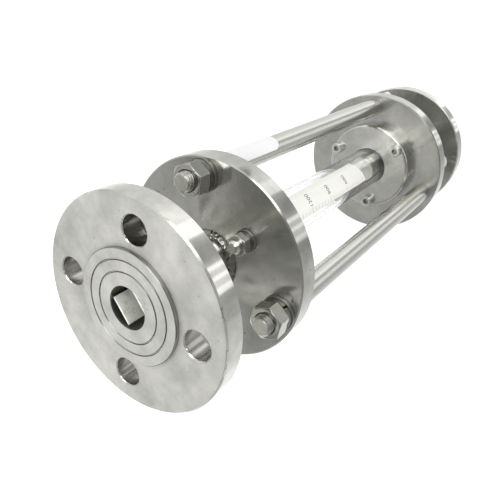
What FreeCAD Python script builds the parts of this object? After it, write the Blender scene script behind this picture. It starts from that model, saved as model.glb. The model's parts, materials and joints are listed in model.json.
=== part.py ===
"""Flanged glass-tube flow meter, all steel but for its tapered glass tube.

Millimetres. The flow axis is +Z, the inlet's raised face is at Z = 0 and the
reading side faces -Y. Each end is drawn once, in heights above its own raised
face, and the outlet end is the mirror image of the inlet end.
"""
import FreeCAD, Part
import math
import os

V = FreeCAD.Vector

# Float: a nose cone, a grooved body and a head with a sharp reading edge
float_d = 19.0              # reading edge
float_len = 36.0
float_nose_d = 4.2          # flat at the tip of the nose cone
float_nose_len = 11.0
float_body_d = 17.6
float_head_len = 4.0
float_head_flare = 1.2      # height of the cone between body and head
float_edge = 0.6            # chamfer over the reading edge
float_dish_d = 6.2          # shallow dish in the top face
float_dish_floor_d = 4.2
float_dish_depth = 1.2
float_groove_count = 3
float_groove_w = 2.2
float_groove_floor_w = 1.1
float_groove_depth = 1.2

# Tapered tube
float_gap_low = 0.8         # float to tube wall at the low end
tube_taper = 1.7            # growth of the tube's bore radius over its length
tube_wall_min = 2.0         # glass wall at the wide end
tube_lip = 0.5              # fire-polished rim
bore_margin = 1.0           # flow bore over the float, per side

# Pipe flange
bolt_pcd = 75.0
bolt_hole_d = 14.0
bolt_count = 4
bolt_clock_deg = 45.0
bolt_margin = 15.0          # hole circle to the rim
bolt_chamfer = 0.5
flange_t = 11.0
flange_edge = 0.8
raised_gap = 2.5            # raised face to the edge of the bolt holes
raised_h = 2.0
groove_rings = (6.6, 12.2)  # sealing grooves, outward from the bore's wall
groove_w = 0.9
groove_depth = 0.5

# Neck pipe and its welds
neck_wall = 2.95
neck_len = 44.0
weld_leg = 3.0
weld_throat = 0.7           # rise of the bead's face over a flat one

# End plate and tie rods
rod_pcd = 90.0
rod_front_half_deg = 57.5   # each front rod from the reading direction
rod_d = 13.0
rod_edge = 0.5              # chamfer of the rod's shoulders
rod_thread_d = 10.0
rod_tip_edge = 0.9
rod_thread_out = 3.7        # thread past the nut
rod_nut_af = 16.0
rod_nut_h = 8.0
rod_nut_turns_deg = (48.0, 37.0, 20.0)  # a corner of each rod's nuts, from straight outward
rod_washer_d = 18.0
rod_washer_t = 2.0
rod_spring_d = 16.6         # split spring washer under the nut
rod_spring_t = 2.6
plate_t = 12.0
plate_margin = 9.5          # rod circle to the rim
plate_edge = 0.7
plate_span = 197.0          # between the inner faces of the two plates

# Tube seat, packing and gland
seat_depth = 7.0
cushion_t = 1.5
seal_w = 6.0
seal_t = 4.0
gland_t = 10.5
gland_edge_r = 2.0
gland_bore_gap = 0.35
gland_pcd = 56.0
gland_margin = 4.5          # screw circle to the gland's rim
screw_d = 6.0
screw_tip_edge = 0.6
screw_head_d = 8.6          # reduced head, clear of the gland's rounded rim
screw_head_h = 5.0
screw_head_edge = 0.6
screw_socket_af = 4.0
screw_socket_depth = 2.5
screw_out = 2.8             # screw past its nut
screw_nut_af = 10.0
screw_nut_h = 5.0
screw_washer_d = 12.0
screw_washer_t = 1.6
screw_spring_d = 10.6
screw_spring_t = 1.8
screw_count = 3

# Nuts of both sizes
nut_face_trim = 0.2         # turned face to the flats, per side
nut_chamfer_deg = 30.0
nut_bore_edge = 0.8

# Slits of the spring washers
slit_w = 1.2
slit_lean_deg = 20.0
slit_turn_deg = 70.0        # from straight outward

# Float stops: a strip folded to a U and sprung into each flow bore
stop_w = 14.0
stop_t = 1.2
stop_bend_r = 2.5
stop_inset = 1.7            # free ends below the raised face
stop_below_seat = 2.0       # bridge of the strip to the tube's seat

# Scale strip on the tube and sticker on the first tie rod
scale_w = 16.4
scale_t = 0.3
scale_low_gap = 40.0        # above the inlet gland
scale_high_gap = 15.0       # below the outlet gland
scale_turn_deg = 2.5        # centre of the strip, from straight ahead (-Y)
scale_lean_deg = 25.0       # slanting cut of the strip's low end
label_len = 43.5
label_w = 14.0              # round the rod
label_t = 0.2
label_top_gap = 4.0         # below the outlet plate
label_turn_deg = 33.0       # centre of the sticker, from straight ahead (-Y)
label_corner_r = 3.5

# Clearances
fit_gap = 0.05              # round fits that stay put
hole_gap = 0.25             # threads in their through holes
rest_gap = 0.3              # float above its stop at rest

# Radii that follow
float_r = float_d / 2
bore_r = float_r + bore_margin
tube_low_r = float_r + float_gap_low
tube_high_r = tube_low_r + tube_taper
tube_r = tube_high_r + tube_wall_min
flange_r = bolt_pcd / 2 + bolt_margin
raised_r = bolt_pcd / 2 - bolt_hole_d / 2 - raised_gap
neck_r = bore_r + neck_wall
rod_ring_r = rod_pcd / 2
plate_r = rod_ring_r + plate_margin
gland_ring_r = gland_pcd / 2
gland_r = gland_ring_r + gland_margin
gland_bore_r = tube_r + gland_bore_gap
seal_r = tube_r + seal_w

# Heights that follow, above each end's raised face
flange_back = raised_h + flange_t
plate_out = flange_back + neck_len
plate_in = plate_out + plate_t
gland_top = plate_in + gland_t
seat_floor = plate_in - seat_depth
tube_end = seat_floor + cushion_t
stop_top = seat_floor - stop_below_seat
rod_nut_face = plate_out - rod_washer_t - rod_spring_t - rod_nut_h
screw_nut_face = plate_out - screw_washer_t - screw_spring_t - screw_nut_h
total_len = 2 * plate_in + plate_span

# Angles and travel that follow
front_deg = -90.0
rod_angles = (front_deg + rod_front_half_deg, front_deg - rod_front_half_deg, front_deg + 180.0)
screw_angles = tuple(front_deg + k * 360.0 / screw_count for k in range(screw_count))
bolt_angles = tuple(bolt_clock_deg + k * 360.0 / bolt_count for k in range(bolt_count))
float_rest = stop_top + rest_gap
float_travel = total_len - stop_top - rest_gap - (float_rest + float_len)


# Helpers

def turned(points):
    """Solid of revolution about Z from a closed outline of (radius, height) pairs."""
    outline = [V(r, 0, h) for r, h in points]
    face = Part.Face(Part.makePolygon(outline + outline[:1]))
    return face.revolve(V(0, 0, 0), V(0, 0, 1), 360)


def at_ring(ring_r, angle_deg):
    """Point on a circle about the axis."""
    a = math.radians(angle_deg)
    return V(ring_r * math.cos(a), ring_r * math.sin(a), 0)


def hexagon(across_flats, height):
    """Hexagonal prism standing on Z = 0."""
    corner_r = across_flats / 2 / math.cos(math.pi / 6)
    points = [at_ring(corner_r, 60 * k) for k in range(7)]
    return Part.Face(Part.makePolygon(points)).extrude(V(0, 0, height))


def ring(outer_r, inner_r, low, high):
    """Plain flat ring."""
    return turned([(inner_r, low), (outer_r, low), (outer_r, high), (inner_r, high)])


def hex_nut(across_flats, height, hole_r):
    """Nut on Z = 0 with both faces turned down to its flats and a chamfered hole."""
    face_r = across_flats / 2 - nut_face_trim
    clear_r = across_flats
    lift = (clear_r - face_r) * math.tan(math.radians(nut_chamfer_deg))
    cones = turned([(0, 0), (face_r, 0), (clear_r, lift), (clear_r, height - lift),
                    (face_r, height), (0, height)])
    mouth_r = hole_r + nut_bore_edge
    hole = turned([(0, 0), (mouth_r, 0), (hole_r, nut_bore_edge), (hole_r, height - nut_bore_edge),
                   (mouth_r, height), (0, height)])
    return hexagon(across_flats, height).common(cones).cut(hole)


def washer_pair(flat_d, flat_t, spring_d, spring_t, hole_r):
    """Flat washer against the plate's outer face and a split spring washer under it."""
    middle = plate_out - flat_t
    spring = ring(spring_d / 2, hole_r, middle - spring_t, middle)
    reach = 2 * spring_d
    slit = Part.makeBox(spring_d, slit_w, reach, V(0, -slit_w / 2, -reach / 2))
    slit.rotate(V(0, 0, 0), V(1, 0, 0), slit_lean_deg)
    slit.rotate(V(0, 0, 0), V(0, 0, 1), slit_turn_deg)
    slit.translate(V(0, 0, middle - spring_t / 2))
    return [ring(flat_d / 2, hole_r, middle, plate_out), spring.cut(slit)]


def moved(shape, place, turn_deg=0.0):
    """Copy of a shape turned about Z and then shifted."""
    copy = shape.copy()
    copy.rotate(V(0, 0, 0), V(0, 0, 1), turn_deg)
    copy.translate(place)
    return copy


def raised(place, height):
    """Place lifted to a height."""
    return place + V(0, 0, height)


def for_end(end, shape):
    """An end piece drawn for the inlet, or its mirror image at the outlet."""
    if end == "inlet":
        return shape
    return shape.mirror(V(0, 0, total_len / 2), V(0, 0, 1))


def drilled(shape, hole_r, ring_r, angles, low, high, chamfer=0.0):
    """Cut a circle of through holes, with a chamfer where they meet both faces."""
    if chamfer:
        mouth_r = hole_r + chamfer
        drill = turned([(0, low), (mouth_r, low), (hole_r, low + chamfer),
                        (hole_r, high - chamfer), (mouth_r, high), (0, high)])
    else:
        drill = turned([(0, low), (hole_r, low), (hole_r, high), (0, high)])
    for angle in angles:
        shape = shape.cut(moved(drill, at_ring(ring_r, angle)))
    return shape


# Pieces of one end

def flange():
    """Raised-face pipe flange with sealing grooves and four bolt holes."""
    outline = [(bore_r, 0)]
    for step in groove_rings:
        middle = bore_r + step
        outline += [(middle - groove_w / 2, 0), (middle, groove_depth), (middle + groove_w / 2, 0)]
    outline += [(raised_r, 0), (raised_r, raised_h), (flange_r - flange_edge, raised_h),
                (flange_r, raised_h + flange_edge), (flange_r, flange_back - flange_edge),
                (flange_r - flange_edge, flange_back), (bore_r, flange_back)]
    return drilled(turned(outline), bolt_hole_d / 2, bolt_pcd / 2, bolt_angles,
                   raised_h, flange_back, bolt_chamfer)


def fillet_weld(face, direction):
    """Convex weld bead around the neck, on a face and growing in one direction."""
    inner = neck_r + fit_gap
    middle = weld_leg / 2 + weld_throat / math.sqrt(2)
    return turned([(inner, face), (inner + weld_leg, face), (inner + middle, face + direction * middle),
                   (inner, face + direction * weld_leg)])


def end_plate():
    """End plate with the tube's seat, the packing recess and its two hole circles."""
    recess_r = seal_r + fit_gap
    seat_r = tube_r + hole_gap
    plate = turned([(bore_r, plate_out), (plate_r - plate_edge, plate_out),
                    (plate_r, plate_out + plate_edge), (plate_r, plate_in - plate_edge),
                    (plate_r - plate_edge, plate_in), (recess_r, plate_in),
                    (recess_r, plate_in - seal_t), (seat_r, plate_in - seal_t),
                    (seat_r, seat_floor), (bore_r, seat_floor)])
    plate = drilled(plate, rod_thread_d / 2 + hole_gap, rod_ring_r, rod_angles, plate_out, plate_in)
    return drilled(plate, screw_d / 2 + hole_gap, gland_ring_r, screw_angles, plate_out, plate_in)


def gland():
    """Gland ring with a rounded front rim, pulled down by its screws."""
    body = ring(gland_r, gland_bore_r, plate_in, gland_top)
    rim = [e for e in body.Edges
           if abs(e.CenterOfMass.z - gland_top) < 1e-6 and hasattr(e.Curve, "Radius")
           and abs(e.Curve.Radius - gland_r) < 1e-6]
    body = body.makeFillet(min(gland_edge_r, gland_t / 2), rim)
    return drilled(body, screw_d / 2 + hole_gap, gland_ring_r, screw_angles, plate_in, gland_top)


def gland_screw():
    """Socket cap screw: head on the gland, thread out through the plate and nut."""
    tip = screw_nut_face - screw_out
    r = screw_d / 2
    head_r = screw_head_d / 2
    head_top = gland_top + screw_head_h
    screw = turned([(0, tip), (r - screw_tip_edge, tip), (r, tip + screw_tip_edge), (r, gland_top),
                    (head_r, gland_top), (head_r, head_top - screw_head_edge),
                    (head_r - screw_head_edge, head_top), (0, head_top)])
    socket = hexagon(screw_socket_af, screw_socket_depth)
    return screw.cut(moved(socket, V(0, 0, head_top - screw_socket_depth)))


def float_stop():
    """Strip folded to a U: two legs sprung against the bore and a bridge for the float."""
    corner_r = bore_r - fit_gap
    half = math.sqrt(corner_r ** 2 - (stop_w / 2) ** 2)
    outer = tongue(half, stop_top, min(stop_bend_r, half - stop_t))
    inner = tongue(half - stop_t, stop_top - stop_t, max(stop_bend_r - stop_t, stop_t / 2))
    return moved(outer.cut(inner), V(-stop_w / 2, 0, 0))


def tongue(half, top, bend_r):
    """Flat bar as wide as the strip, from its free ends to a top with rounded corners."""
    s = bend_r * math.sqrt(0.5)
    low = stop_inset
    edges = [
        Part.makeLine(V(0, -half, low), V(0, -half, top - bend_r)),
        Part.Arc(V(0, -half, top - bend_r), V(0, -half + bend_r - s, top - bend_r + s),
                 V(0, -half + bend_r, top)).toShape(),
        Part.makeLine(V(0, -half + bend_r, top), V(0, half - bend_r, top)),
        Part.Arc(V(0, half - bend_r, top), V(0, half - bend_r + s, top - bend_r + s),
                 V(0, half, top - bend_r)).toShape(),
        Part.makeLine(V(0, half, top - bend_r), V(0, half, low)),
        Part.makeLine(V(0, half, low), V(0, -half, low))]
    return Part.Face(Part.Wire(edges)).extrude(V(stop_w, 0, 0))


# Pieces along the whole length

def tie_rod():
    """Tie rod with a shoulder against each plate and a threaded end through it."""
    tip = rod_nut_face - rod_thread_out
    thread_r = rod_thread_d / 2
    half_rod = [(0, tip), (thread_r - rod_tip_edge, tip), (thread_r, tip + rod_tip_edge),
                (thread_r, plate_in), (rod_d / 2 - rod_edge, plate_in),
                (rod_d / 2, plate_in + rod_edge)]
    return turned(half_rod + [(r, total_len - h) for r, h in reversed(half_rod)])


def glass_tube():
    """Glass tube, straight outside and widening towards the outlet inside."""
    top = total_len - tube_end
    lip = min(tube_lip, tube_wall_min / 2)
    return turned([(tube_low_r, tube_end), (tube_r - lip, tube_end), (tube_r, tube_end + lip),
                   (tube_r, top - lip), (tube_r - lip, top), (tube_high_r, top)])


def float_body():
    """Turned float with its nose down, standing clear of its lower stop."""
    body_r = float_body_d / 2
    waist_r = body_r - float_groove_depth
    head_low = float_len - float_head_len
    pitch = (head_low - float_nose_len) / (float_groove_count + 1)
    outline = [(0, 0), (float_nose_d / 2, 0), (body_r, float_nose_len)]
    for k in range(1, float_groove_count + 1):
        middle = float_nose_len + k * pitch
        outline += [(body_r, middle - float_groove_w / 2), (waist_r, middle - float_groove_floor_w / 2),
                    (waist_r, middle + float_groove_floor_w / 2), (body_r, middle + float_groove_w / 2)]
    outline += [(body_r, head_low - float_head_flare), (float_r, head_low),
                (float_r, float_len - float_edge), (float_r - float_edge, float_len),
                (float_dish_d / 2, float_len), (float_dish_floor_d / 2, float_len - float_dish_depth),
                (0, float_len - float_dish_depth)]
    return moved(turned(outline), V(0, 0, float_rest))


def scale_strip():
    """Enamel strip on the front of the tube, a sector of a thin ring with a slanting low end."""
    inner_r = tube_r + fit_gap
    outer_r = inner_r + scale_t
    half_deg = math.degrees(math.asin(scale_w / 2 / outer_r))
    middle_low = gland_top + scale_low_gap
    reach = 2 * outer_r
    low = middle_low - reach * math.tan(math.radians(scale_lean_deg))
    high = total_len - gland_top - scale_high_gap
    section = Part.Face(Part.makePolygon([V(r, 0, h) for r, h in (
        (inner_r, low), (outer_r, low), (outer_r, high), (inner_r, high), (inner_r, low))]))
    section.rotate(V(0, 0, 0), V(0, 0, 1), front_deg + scale_turn_deg - half_deg)
    strip = section.revolve(V(0, 0, 0), V(0, 0, 1), 2 * half_deg)
    offcut = Part.makeBox(2 * reach, reach, 2 * reach, V(-reach, -reach, -2 * reach))
    offcut.rotate(V(0, 0, 0), V(0, 1, 0), -scale_lean_deg)
    offcut.translate(V(0, 0, middle_low))
    return strip.cut(offcut)


def rod_label():
    """Sticker wrapped round the first tie rod, with rounded corners."""
    inner_r = rod_d / 2 + fit_gap
    high = total_len - plate_in - label_top_gap
    half_w = rod_d / 2 * math.sin(label_w / rod_d)
    skin = ring(inner_r + label_t, inner_r, high - label_len, high)
    blank = Part.makeBox(2 * half_w, rod_d, label_len, V(-half_w, -rod_d, high - label_len))
    corners = [e for e in blank.Edges if abs(e.tangentAt(e.FirstParameter).y) > 0.99]
    blank = blank.makeFillet(min(label_corner_r, half_w / 2), corners)
    return moved(skin.common(blank), at_ring(rod_ring_r, rod_angles[0]), label_turn_deg)


# All nodes

nodes = {}
for end in ("inlet", "outlet"):
    nodes[end + "_flange"] = for_end(end, flange())
    nodes[end + "_flange_weld"] = for_end(end, fillet_weld(flange_back, 1))
    nodes[end + "_neck"] = for_end(end, ring(neck_r, bore_r, flange_back, plate_out))
    nodes[end + "_plate_weld"] = for_end(end, fillet_weld(plate_out, -1))
    nodes[end + "_plate"] = for_end(end, end_plate())
    nodes[end + "_cushion"] = for_end(end, ring(tube_r, bore_r, seat_floor, tube_end))
    nodes[end + "_packing"] = for_end(end, ring(seal_r, tube_r + fit_gap, plate_in - seal_t, plate_in))
    nodes[end + "_gland"] = for_end(end, gland())
    nodes[end + "_float_stop"] = for_end(end, float_stop())

    screw_nut = hex_nut(screw_nut_af, screw_nut_h, screw_d / 2 + fit_gap)
    screw_washers = washer_pair(screw_washer_d, screw_washer_t, screw_spring_d, screw_spring_t,
                                screw_d / 2 + hole_gap)
    washers = []
    for k, angle in enumerate(screw_angles, 1):
        place = at_ring(gland_ring_r, angle)
        nodes["%s_gland_screw_%d" % (end, k)] = for_end(end, moved(gland_screw(), place, angle))
        nut = moved(screw_nut, raised(place, screw_nut_face), angle)
        nodes["%s_gland_nut_%d" % (end, k)] = for_end(end, nut)
        washers += [moved(washer, place, angle) for washer in screw_washers]
    nodes[end + "_gland_washers"] = for_end(end, Part.makeCompound(washers))

    rod_nut = hex_nut(rod_nut_af, rod_nut_h, rod_thread_d / 2 + fit_gap)
    rod_washers = washer_pair(rod_washer_d, rod_washer_t, rod_spring_d, rod_spring_t,
                              rod_thread_d / 2 + hole_gap)
    washers = []
    for k, angle in enumerate(rod_angles, 1):
        place = at_ring(rod_ring_r, angle)
        nut = moved(rod_nut, raised(place, rod_nut_face), angle + rod_nut_turns_deg[k - 1])
        nodes["%s_rod_nut_%d" % (end, k)] = for_end(end, nut)
        washers += [moved(washer, place, angle) for washer in rod_washers]
    nodes[end + "_rod_washers"] = for_end(end, Part.makeCompound(washers))

for k, angle in enumerate(rod_angles, 1):
    nodes["tie_rod_%d" % k] = moved(tie_rod(), at_ring(rod_ring_r, angle))
nodes["glass_tube"] = glass_tube()
nodes["float"] = float_body()
nodes["scale_strip"] = scale_strip()
nodes["rod_label"] = rod_label()

os.makedirs("parts", exist_ok=True)
for name, shape in nodes.items():
    shape.exportStep("parts/%s.step" % name)
print("length %.1f, float travel %.1f, %d nodes" % (total_len, float_travel, len(nodes)))
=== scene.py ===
"""Studio scene of the flanged glass-tube flow meter.

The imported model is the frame. Turned and threaded pieces are modelled again on
it with finer edges, and every piece is dressed with a procedural finish.
Sizes are millimetres in the classes and metres in Blender.
"""
import json
import logging
import math
from dataclasses import dataclass
from enum import Enum
from typing import Callable, Iterable, Sequence

import bpy
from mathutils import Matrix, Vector

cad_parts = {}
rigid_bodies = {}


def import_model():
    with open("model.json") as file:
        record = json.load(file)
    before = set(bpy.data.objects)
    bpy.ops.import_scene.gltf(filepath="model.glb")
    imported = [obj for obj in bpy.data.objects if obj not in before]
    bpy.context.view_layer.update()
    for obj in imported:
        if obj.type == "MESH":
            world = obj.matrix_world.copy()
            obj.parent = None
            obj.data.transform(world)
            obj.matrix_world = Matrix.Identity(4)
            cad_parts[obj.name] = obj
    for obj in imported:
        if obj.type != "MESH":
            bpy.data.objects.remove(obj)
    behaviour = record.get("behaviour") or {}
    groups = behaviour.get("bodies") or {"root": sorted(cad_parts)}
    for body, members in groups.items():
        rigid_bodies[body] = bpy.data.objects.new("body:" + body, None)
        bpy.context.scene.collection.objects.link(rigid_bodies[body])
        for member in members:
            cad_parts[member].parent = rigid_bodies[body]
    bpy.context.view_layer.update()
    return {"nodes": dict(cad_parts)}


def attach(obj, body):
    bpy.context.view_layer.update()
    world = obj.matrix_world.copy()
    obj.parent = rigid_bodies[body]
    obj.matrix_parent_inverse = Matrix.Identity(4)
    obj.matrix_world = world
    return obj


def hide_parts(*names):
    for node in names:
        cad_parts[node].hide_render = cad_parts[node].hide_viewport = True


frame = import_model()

MM = 0.001
BODY = "meter"
FLOAT_BODY = "float"
DOUBLES = 0.0005 * MM       # vertices nearer than this are one
LOOSE = 0.001 * MM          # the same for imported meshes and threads
OVERRUN = 1.0               # how far a cutting tool runs past a face, in millimetres
FACE_SLACK = 0.1            # how far off its place a face may lie and still count
WALL_TILT = 0.05            # share of an upright wall's normal along the axis, at most
SLOPE_TILT = 0.8            # the same for a bevelled or sloping wall
LEVEL_TILT = 0.9            # share of a flat face's normal along the axis, at least
FLAT_TILT = 0.9999          # the same for a face that is shaded flat
BUMP_REACH = 0.05 * MM      # depth of the marks that the finishes add
CREASE = 32.0               # edges sharper than this many degrees stay sharp
THREAD_CREASE = 30.0
NUT_CREASE = 28.0
GLASS_CREASE = 50.0
WELD_CREASE = 80.0

log = logging.getLogger("flow_meter")

Point = tuple[float, float]
Colour = tuple[float, float, float]
Triple = tuple[float, float, float]
Thing = bpy.types.Object
Material = bpy.types.Material
Finishes = dict[str, Material]
Socket = bpy.types.NodeSocket


class End(Enum):
    """The two ends of the meter."""

    INLET = "inlet"
    OUTLET = "outlet"


class Lay(Enum):
    """Direction of the machining marks on a steel surface."""

    TURNED = "turned_lay"
    DRAWN = "drawn_lay"
    PLAIN = "plain"


# Moves at the bench


def clear_selection() -> None:
    """Leave edit mode and deselect everything."""
    if bpy.context.mode != "OBJECT":
        bpy.ops.object.mode_set(mode="OBJECT")
    bpy.ops.object.select_all(action="DESELECT")


def pick(*things: Thing) -> None:
    """Select only these objects, the first one active.

    Args:
        things: The objects.
    """
    clear_selection()
    for thing in things:
        thing.select_set(True)
    bpy.context.view_layer.objects.active = things[0]


def edit(thing: Thing) -> None:
    """Enter edit mode on one object with its whole mesh selected.

    Args:
        thing: The object.
    """
    pick(thing)
    bpy.ops.object.mode_set(mode="EDIT")
    bpy.ops.mesh.select_all(action="SELECT")


def join(*things: Thing) -> Thing:
    """Join objects into the first of them.

    Args:
        things: The objects.

    Returns:
        The joined object.
    """
    pick(*things)
    bpy.ops.object.join()
    return bpy.context.active_object


def duplicate(thing: Thing, name: str) -> Thing:
    """Copy an object with its own mesh.

    Args:
        thing: The pattern.
        name: Name of the copy.

    Returns:
        The copy, selected and active.
    """
    pick(thing)
    bpy.ops.object.duplicate()
    copy = bpy.context.active_object
    copy.name = name
    return copy


def apply_place(thing: Thing) -> None:
    """Put an object's place into its mesh."""
    pick(thing)
    bpy.ops.object.transform_apply(location=True, rotation=True, scale=True)


def apply_modifier(thing: Thing, kind: str, **settings: object) -> None:
    """Add one modifier, set it and apply it.

    Args:
        thing: The object to change.
        kind: Blender's modifier type.
        settings: Values for the modifier's properties.
    """
    pick(thing)
    modifier = thing.modifiers.new(kind.lower(), kind)
    for key, value in settings.items():
        setattr(modifier, key, value)
    bpy.ops.object.modifier_apply(modifier=modifier.name)


def draw(name: str, points: Sequence[Point]) -> Thing:
    """Draw an open outline in the XZ plane by extruding one vertex along it.

    Args:
        name: Name of the new object.
        points: (radius, height) pairs in millimetres.

    Returns:
        The new object, a chain of edges.
    """
    clear_selection()
    bpy.ops.mesh.primitive_circle_add(vertices=3, radius=MM, location=(0, 0, 0))
    thing = bpy.context.active_object
    thing.name = name
    edit(thing)
    bpy.ops.mesh.merge(type="CENTER")
    here = Vector((0, 0, 0))
    for count, (radius, height) in enumerate(points):
        there = Vector((radius * MM, 0, height * MM))
        if count:
            bpy.ops.mesh.extrude_vertices_move(TRANSFORM_OT_translate={"value": there - here})
        else:
            bpy.ops.transform.translate(value=there - here)
        here = there
    bpy.ops.object.mode_set(mode="OBJECT")
    return thing


def close_up(thing: Thing) -> None:
    """Merge doubled vertices and point all faces outwards.

    Args:
        thing: The object.
    """
    edit(thing)
    bpy.ops.mesh.remove_doubles(threshold=DOUBLES)
    bpy.ops.mesh.normals_make_consistent(inside=False)
    bpy.ops.object.mode_set(mode="OBJECT")


def turn(name: str, points: Sequence[Point], segments: int = 144) -> Thing:
    """Turn a closed outline about the Z axis, as on a lathe.

    Args:
        name: Name of the new object.
        points: (radius, height) pairs in millimetres; the outline is closed here.
        segments: Faces round the axis.

    Returns:
        The turned solid.
    """
    outline = list(points)
    on_axis = outline[0][0] == 0 and outline[-1][0] == 0
    thing = draw(name, outline if on_axis else outline + outline[:1])
    edit(thing)
    bpy.ops.mesh.remove_doubles(threshold=DOUBLES)
    bpy.ops.mesh.select_all(action="SELECT")
    bpy.ops.mesh.spin(steps=segments, angle=math.tau, center=(0, 0, 0), axis=(0, 0, 1))
    close_up(thing)
    return thing


def quarter(outer: float, top: float, radius: float, steps: int) -> list[Point]:
    """Rounded rim of an outline, from its side up to its top.

    Args:
        outer: Radius of the side.
        top: Height of the top.
        radius: Radius of the rim.
        steps: Lines along the rim.

    Returns:
        (radius, height) pairs in millimetres.
    """
    points = []
    for count in range(steps + 1):
        angle = math.radians(90 * count / steps)
        points.append((outer - radius * (1 - math.cos(angle)), top - radius * (1 - math.sin(angle))))
    return points


def cut(thing: Thing, tools: Iterable[Thing], operation: str = "DIFFERENCE") -> None:
    """Cut an object with others and throw these away.

    Args:
        thing: The object to cut.
        tools: The cutting objects.
        operation: INTERSECT to keep what they share instead.
    """
    for tool in tools:
        apply_modifier(thing, "BOOLEAN", operation=operation, solver="EXACT", object=tool)
        bpy.data.objects.remove(tool)


def soften(thing: Thing, width: float, segments: int = 2, crease: float = 35.0) -> None:
    """Round the sharp edges of an object.

    Args:
        thing: The object to change.
        width: Width of the rounding in millimetres.
        segments: Faces across the rounding.
        crease: Edges sharper than this many degrees are rounded.
    """
    apply_modifier(thing, "BEVEL", width=width * MM, segments=segments, limit_method="ANGLE",
                   angle_limit=math.radians(crease), use_clamp_overlap=True)


def smooth(thing: Thing, crease: float = CREASE) -> None:
    """Shade curved faces smooth and plane ones flat.

    Args:
        thing: The object to shade.
        crease: Edges sharper than this many degrees stay sharp.
    """
    pick(thing)
    bpy.ops.object.shade_smooth_by_angle(angle=math.radians(crease))
    for face in thing.data.polygons:
        face.use_smooth = len(face.vertices) < 5 and abs(face.normal.z) < FLAT_TILT
    apply_modifier(thing, "WEIGHTED_NORMAL", keep_sharp=True, weight=100)


def ease(thing: Thing, width: float) -> Thing:
    """Round an object's edges by so many millimetres, shade it and return it."""
    soften(thing, width)
    smooth(thing)
    return thing


def place_copy(thing: Thing, name: str, place: Vector, turned: float = 0.0) -> Thing:
    """Copy an object with its own mesh, turn it about Z and put it at a place.

    Args:
        thing: The pattern.
        name: Name of the copy.
        place: Where to, in millimetres.
        turned: Turn about Z, in degrees.

    Returns:
        The copy, with its place in its mesh.
    """
    copy = duplicate(thing, name)
    copy.rotation_euler = (0, 0, math.radians(turned))
    copy.location = place * MM
    apply_place(copy)
    return copy


def refine(node: str, name: str, width: float = 0.0) -> Thing:
    """Copy a CAD node, merge its loose triangles and round its edges.

    Args:
        node: Name of the CAD node.
        name: Name of the copy.
        width: Width of the rounded edges in millimetres, 0 for none.

    Returns:
        The copy.
    """
    copy = duplicate(frame["nodes"][node], name)
    bpy.ops.object.parent_clear(type="CLEAR_KEEP_TRANSFORM")
    for key in [key for key in copy.keys() if key.startswith("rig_")]:
        del copy[key]
    edit(copy)
    bpy.ops.mesh.remove_doubles(threshold=LOOSE)
    bpy.ops.mesh.dissolve_limited(angle_limit=math.radians(0.5))
    bpy.ops.object.mode_set(mode="OBJECT")
    if width:
        soften(copy, width)
    smooth(copy)
    return copy


def settle(thing: Thing, finish: Material, slot: str, *nodes: str, body: str = BODY) -> Thing:
    """Dress a finished piece, let it ride on its body and stand for its CAD nodes.

    Args:
        thing: The piece.
        finish: Its material.
        slot: Material slot of the record that it belongs to; not used.
        nodes: CAD nodes that it stands for.
        body: CAD body that carries it.

    Returns:
        The piece.
    """
    thing.data.materials.clear()
    thing.data.materials.append(finish)
    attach(thing, body)
    if nodes:
        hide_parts(*nodes)
    log.info("%s: %d faces", thing.name, len(thing.data.polygons))
    return thing


def dress_faces(thing: Thing, finish: Material, chosen: Callable[[Vector, Vector], bool]) -> None:
    """Give some faces of a dressed piece a second finish.

    Args:
        thing: The piece.
        finish: The second finish.
        chosen: Tells from a face's middle, in millimetres, and its normal whether it is meant.
    """
    thing.data.materials.append(finish)
    for face in thing.data.polygons:
        if chosen(face.center / MM, face.normal):
            face.material_index = len(thing.data.materials) - 1


def ring_place(radius: float, degrees: float, height: float = 0.0) -> Vector:
    """Point on a circle about the axis, in millimetres."""
    angle = math.radians(degrees)
    return Vector((radius * math.cos(angle), radius * math.sin(angle), height))


def off_axis(place: Vector) -> Vector:
    """The same place at height 0, whose length is its distance from the axis."""
    return Vector((place.x, place.y, 0))


# Shader groups shared by the finishes


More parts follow.
